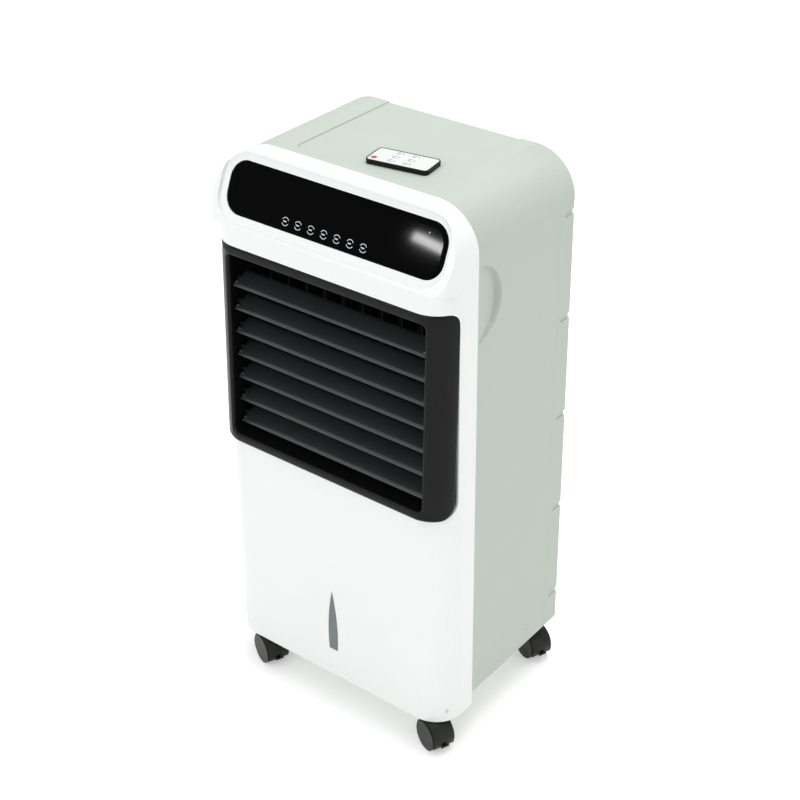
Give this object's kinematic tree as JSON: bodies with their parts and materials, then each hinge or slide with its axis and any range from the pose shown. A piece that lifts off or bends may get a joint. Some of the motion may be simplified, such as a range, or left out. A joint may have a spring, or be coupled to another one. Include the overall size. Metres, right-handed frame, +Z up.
{
  "type": "evaporative cooler",
  "caption": "Tower evaporative air cooler with louvred front grille, touch panel, rear pad and filter, pull-out water tank and swivel casters.",
  "frame": {"origin": "on the floor, under the middle of the overall box", "axes": "+Z up, the front grille faces -Y, and +X is to the right seen from the front"},
  "size_m": [0.3751, 0.2814, 0.7784],
  "materials": {
    "shell_white": "glossy white moulded plastic",
    "casing_grey": "pale grey-green moulded plastic, satin",
    "lens_black": "polished black panel with printed touch keys",
    "grille_black": "black moulded plastic, semi-gloss",
    "louvre_black": "black moulded plastic, satin",
    "window_smoke": "smoked translucent plastic",
    "inner_plastic": "unpainted moulded plastic",
    "steel": "zinc plated sheet",
    "tank_clear": "translucent natural plastic",
    "pad_brown": "corrugated cellulose pad",
    "rubber_black": "black rubber",
    "caster_black": "black nylon",
    "board_green": "printed circuit board",
    "remote_white": "white membrane keypad"
  },
  "bodies": {
    "casing": {"front_shell": "shell_white", "control_lens": "lens_black", "control_board": "board_green", "grille_frame": "grille_black", "level_window": "window_smoke", "top_cover": "casing_grey", "side_panel_left": "casing_grey", "side_panel_right": "casing_grey", "rear_frame": "casing_grey", "base_tray": "casing_grey", "blower_housing": "louvre_black", "motor_bracket": "steel", "blower_motor": "steel", "swing_motor": "steel", "pump_hose": "rubber_black", "water_distributor": "inner_plastic", "cord_gland": "grille_black", "screw_caps": "inner_plastic"},
    "louvre_1": {"louvre_1": "louvre_black"},
    "louvre_2": {"louvre_2": "louvre_black"},
    "louvre_3": {"louvre_3": "louvre_black"},
    "louvre_4": {"louvre_4": "louvre_black"},
    "louvre_5": {"louvre_5": "louvre_black"},
    "louvre_6": {"louvre_6": "louvre_black"},
    "louvre_7": {"louvre_7": "louvre_black"},
    "louvre_link": {"louvre_link_bar": "louvre_black"},
    "swing_blade_1": {"swing_blade_1": "louvre_black"},
    "swing_blade_2": {"swing_blade_2": "louvre_black"},
    "swing_blade_3": {"swing_blade_3": "louvre_black"},
    "swing_blade_4": {"swing_blade_4": "louvre_black"},
    "swing_blade_5": {"swing_blade_5": "louvre_black"},
    "swing_blade_6": {"swing_blade_6": "louvre_black"},
    "swing_blade_7": {"swing_blade_7": "louvre_black"},
    "swing_blade_8": {"swing_blade_8": "louvre_black"},
    "swing_blade_9": {"swing_blade_9": "louvre_black"},
    "swing_link": {"swing_link_bar": "louvre_black"},
    "fan": {"blower_wheel": "louvre_black"},
    "filter_cartridge": {"air_filter": "casing_grey", "pad_frame": "inner_plastic", "cooling_pad": "pad_brown"},
    "tank": {"water_tank": "tank_clear", "water_pump": "louvre_black"},
    "float": {"tank_float": "inner_plastic"},
    "lock": {"tank_lock": "casing_grey"},
    "remote": {"remote_case": "grille_black", "remote_face": "remote_white"},
    "remote_tray": {"remote_battery_tray": "grille_black"},
    "caster_front_right": {"caster_hood_front_right": "caster_black"},
    "wheels_front_right": {"caster_wheels_front_right": "caster_black"},
    "brake_front_right": {"brake_lever_front_right": "caster_black"},
    "caster_front_left": {"caster_hood_front_left": "caster_black"},
    "wheels_front_left": {"caster_wheels_front_left": "caster_black"},
    "brake_front_left": {"brake_lever_front_left": "caster_black"},
    "caster_rear_right": {"caster_hood_rear_right": "caster_black"},
    "wheels_rear_right": {"caster_wheels_rear_right": "caster_black"},
    "brake_rear_right": {"brake_lever_rear_right": "caster_black"},
    "caster_rear_left": {"caster_hood_rear_left": "caster_black"},
    "wheels_rear_left": {"caster_wheels_rear_left": "caster_black"},
    "brake_rear_left": {"brake_lever_rear_left": "caster_black"}
  },
  "joints": [
    {"name": "louvre_1_tilt", "type": "hinge", "parent": "casing", "child": "louvre_1", "pos_m": [0, -0.11165, 0.603], "axis": [1, 0, 0], "range_deg": [-45, 45]},
    {"name": "louvre_2_tilt", "type": "hinge", "parent": "casing", "child": "louvre_2", "pos_m": [0, -0.11165, 0.5695], "axis": [1, 0, 0], "range_deg": [-45, 45]},
    {"name": "louvre_3_tilt", "type": "hinge", "parent": "casing", "child": "louvre_3", "pos_m": [0, -0.11165, 0.536], "axis": [1, 0, 0], "range_deg": [-45, 45]},
    {"name": "louvre_4_tilt", "type": "hinge", "parent": "casing", "child": "louvre_4", "pos_m": [0, -0.11165, 0.5025], "axis": [1, 0, 0], "range_deg": [-45, 45]},
    {"name": "louvre_5_tilt", "type": "hinge", "parent": "casing", "child": "louvre_5", "pos_m": [0, -0.11165, 0.469], "axis": [1, 0, 0], "range_deg": [-45, 45]},
    {"name": "louvre_6_tilt", "type": "hinge", "parent": "casing", "child": "louvre_6", "pos_m": [0, -0.11165, 0.4355], "axis": [1, 0, 0], "range_deg": [-45, 45]},
    {"name": "louvre_7_tilt", "type": "hinge", "parent": "casing", "child": "louvre_7", "pos_m": [0, -0.11165, 0.402], "axis": [1, 0, 0], "range_deg": [-45, 45]},
    {"name": "louvre_link_swing", "type": "hinge", "parent": "louvre_4", "child": "louvre_link", "pos_m": [0.153, -0.09943, 0.50695], "axis": [1, 0, 0], "range_deg": [-45, 45]},
    {"name": "swing_blade_1_turn", "type": "hinge", "parent": "casing", "child": "swing_blade_1", "pos_m": [-0.12, -0.07565, 0.514], "axis": [0, 0, 1], "range_deg": [-45, 45]},
    {"name": "swing_blade_2_turn", "type": "hinge", "parent": "casing", "child": "swing_blade_2", "pos_m": [-0.09, -0.07565, 0.514], "axis": [0, 0, 1], "range_deg": [-45, 45]},
    {"name": "swing_blade_3_turn", "type": "hinge", "parent": "casing", "child": "swing_blade_3", "pos_m": [-0.06, -0.07565, 0.514], "axis": [0, 0, 1], "range_deg": [-45, 45]},
    {"name": "swing_blade_4_turn", "type": "hinge", "parent": "casing", "child": "swing_blade_4", "pos_m": [-0.03, -0.07565, 0.514], "axis": [0, 0, 1], "range_deg": [-45, 45]},
    {"name": "swing_blade_5_turn", "type": "hinge", "parent": "casing", "child": "swing_blade_5", "pos_m": [0, -0.07565, 0.514], "axis": [0, 0, 1], "range_deg": [-45, 45]},
    {"name": "swing_blade_6_turn", "type": "hinge", "parent": "casing", "child": "swing_blade_6", "pos_m": [0.03, -0.07565, 0.514], "axis": [0, 0, 1], "range_deg": [-45, 45]},
    {"name": "swing_blade_7_turn", "type": "hinge", "parent": "casing", "child": "swing_blade_7", "pos_m": [0.06, -0.07565, 0.514], "axis": [0, 0, 1], "range_deg": [-45, 45]},
    {"name": "swing_blade_8_turn", "type": "hinge", "parent": "casing", "child": "swing_blade_8", "pos_m": [0.09, -0.07565, 0.514], "axis": [0, 0, 1], "range_deg": [-45, 45]},
    {"name": "swing_blade_9_turn", "type": "hinge", "parent": "casing", "child": "swing_blade_9", "pos_m": [0.12, -0.07565, 0.514], "axis": [0, 0, 1], "range_deg": [-45, 45]},
    {"name": "swing_link_turn", "type": "hinge", "parent": "swing_blade_5", "child": "swing_link", "pos_m": [0, -0.06465, 0.387], "axis": [0, 0, 1], "range_deg": [-45, 45]},
    {"name": "fan_spin", "type": "hinge", "parent": "casing", "child": "fan", "pos_m": [0, -0.036, 0.514], "axis": [0, 1, 0], "continuous": true},
    {"name": "filter_pull", "type": "slide", "parent": "casing", "child": "filter_cartridge", "axis": [0, 1, 0], "range_m": [0, 0.15]},
    {"name": "tank_pull", "type": "slide", "parent": "casing", "child": "tank", "axis": [0, 1, 0], "range_m": [0, 0.22]},
    {"name": "float_rise", "type": "slide", "parent": "tank", "child": "float", "axis": [0, 0, 1], "range_m": [0, 0.05]},
    {"name": "tank_lock_turn", "type": "hinge", "parent": "casing", "child": "lock", "pos_m": [0, 0.13535, 0.1913], "axis": [0, 1, 0], "range_deg": [0, 90]},
    {"name": "remote_lift", "type": "slide", "parent": "casing", "child": "remote", "axis": [0, 0, 1], "range_m": [0, 0.08]},
    {"name": "remote_tray_pull", "type": "slide", "parent": "remote", "child": "remote_tray", "axis": [0.9877, 0.1564, 0], "range_m": [0, 0.018]},
    {"name": "caster_front_right_swivel", "type": "hinge", "parent": "casing", "child": "caster_front_right", "pos_m": [0.146, -0.11065, 0.066], "axis": [0, 0, 1], "continuous": true},
    {"name": "caster_front_right_roll", "type": "hinge", "parent": "caster_front_right", "child": "wheels_front_right", "pos_m": [0.16182, -0.11688, 0.021], "axis": [0.3665, 0.9304, 0], "continuous": true},
    {"name": "caster_front_right_brake", "type": "hinge", "parent": "caster_front_right", "child": "brake_front_right", "pos_m": [0.1767, -0.12275, 0.014], "axis": [0.3665, 0.9304, 0], "range_deg": [0, 12]},
    {"name": "caster_front_left_swivel", "type": "hinge", "parent": "casing", "child": "caster_front_left", "pos_m": [-0.146, -0.11065, 0.066], "axis": [0, 0, 1], "continuous": true},
    {"name": "caster_front_left_roll", "type": "hinge", "parent": "caster_front_left", "child": "wheels_front_left", "pos_m": [-0.13018, -0.11688, 0.021], "axis": [0.3665, 0.9304, 0], "continuous": true},
    {"name": "caster_front_left_brake", "type": "hinge", "parent": "caster_front_left", "child": "brake_front_left", "pos_m": [-0.1153, -0.12275, 0.014], "axis": [0.3665, 0.9304, 0], "range_deg": [0, 12]},
    {"name": "caster_rear_right_swivel", "type": "hinge", "parent": "casing", "child": "caster_rear_right", "pos_m": [0.146, 0.12235, 0.066], "axis": [0, 0, 1], "continuous": true},
    {"name": "caster_rear_right_roll", "type": "hinge", "parent": "caster_rear_right", "child": "wheels_rear_right", "pos_m": [0.16182, 0.11612, 0.021], "axis": [0.3665, 0.9304, 0], "continuous": true},
    {"name": "caster_rear_right_brake", "type": "hinge", "parent": "caster_rear_right", "child": "brake_rear_right", "pos_m": [0.1767, 0.11026, 0.014], "axis": [0.3665, 0.9304, 0], "range_deg": [0, 12]},
    {"name": "caster_rear_left_swivel", "type": "hinge", "parent": "casing", "child": "caster_rear_left", "pos_m": [-0.146, 0.12235, 0.066], "axis": [0, 0, 1], "continuous": true},
    {"name": "caster_rear_left_roll", "type": "hinge", "parent": "caster_rear_left", "child": "wheels_rear_left", "pos_m": [-0.13018, 0.11612, 0.021], "axis": [0.3665, 0.9304, 0], "continuous": true},
    {"name": "caster_rear_left_brake", "type": "hinge", "parent": "caster_rear_left", "child": "brake_rear_left", "pos_m": [-0.1153, 0.11026, 0.014], "axis": [0.3665, 0.9304, 0], "range_deg": [0, 12]}
  ],
  "couplings": [
    {"joint": "louvre_1_tilt", "follows": "louvre_4_tilt", "ratio": 1},
    {"joint": "louvre_2_tilt", "follows": "louvre_4_tilt", "ratio": 1},
    {"joint": "louvre_3_tilt", "follows": "louvre_4_tilt", "ratio": 1},
    {"joint": "louvre_5_tilt", "follows": "louvre_4_tilt", "ratio": 1},
    {"joint": "louvre_6_tilt", "follows": "louvre_4_tilt", "ratio": 1},
    {"joint": "louvre_7_tilt", "follows": "louvre_4_tilt", "ratio": 1},
    {"joint": "louvre_link_swing", "follows": "louvre_4_tilt", "ratio": -1},
    {"joint": "swing_blade_1_turn", "follows": "swing_blade_5_turn", "ratio": 1},
    {"joint": "swing_blade_2_turn", "follows": "swing_blade_5_turn", "ratio": 1},
    {"joint": "swing_blade_3_turn", "follows": "swing_blade_5_turn", "ratio": 1},
    {"joint": "swing_blade_4_turn", "follows": "swing_blade_5_turn", "ratio": 1},
    {"joint": "swing_blade_6_turn", "follows": "swing_blade_5_turn", "ratio": 1},
    {"joint": "swing_blade_7_turn", "follows": "swing_blade_5_turn", "ratio": 1},
    {"joint": "swing_blade_8_turn", "follows": "swing_blade_5_turn", "ratio": 1},
    {"joint": "swing_blade_9_turn", "follows": "swing_blade_5_turn", "ratio": 1},
    {"joint": "swing_link_turn", "follows": "swing_blade_5_turn", "ratio": -1}
  ]
}
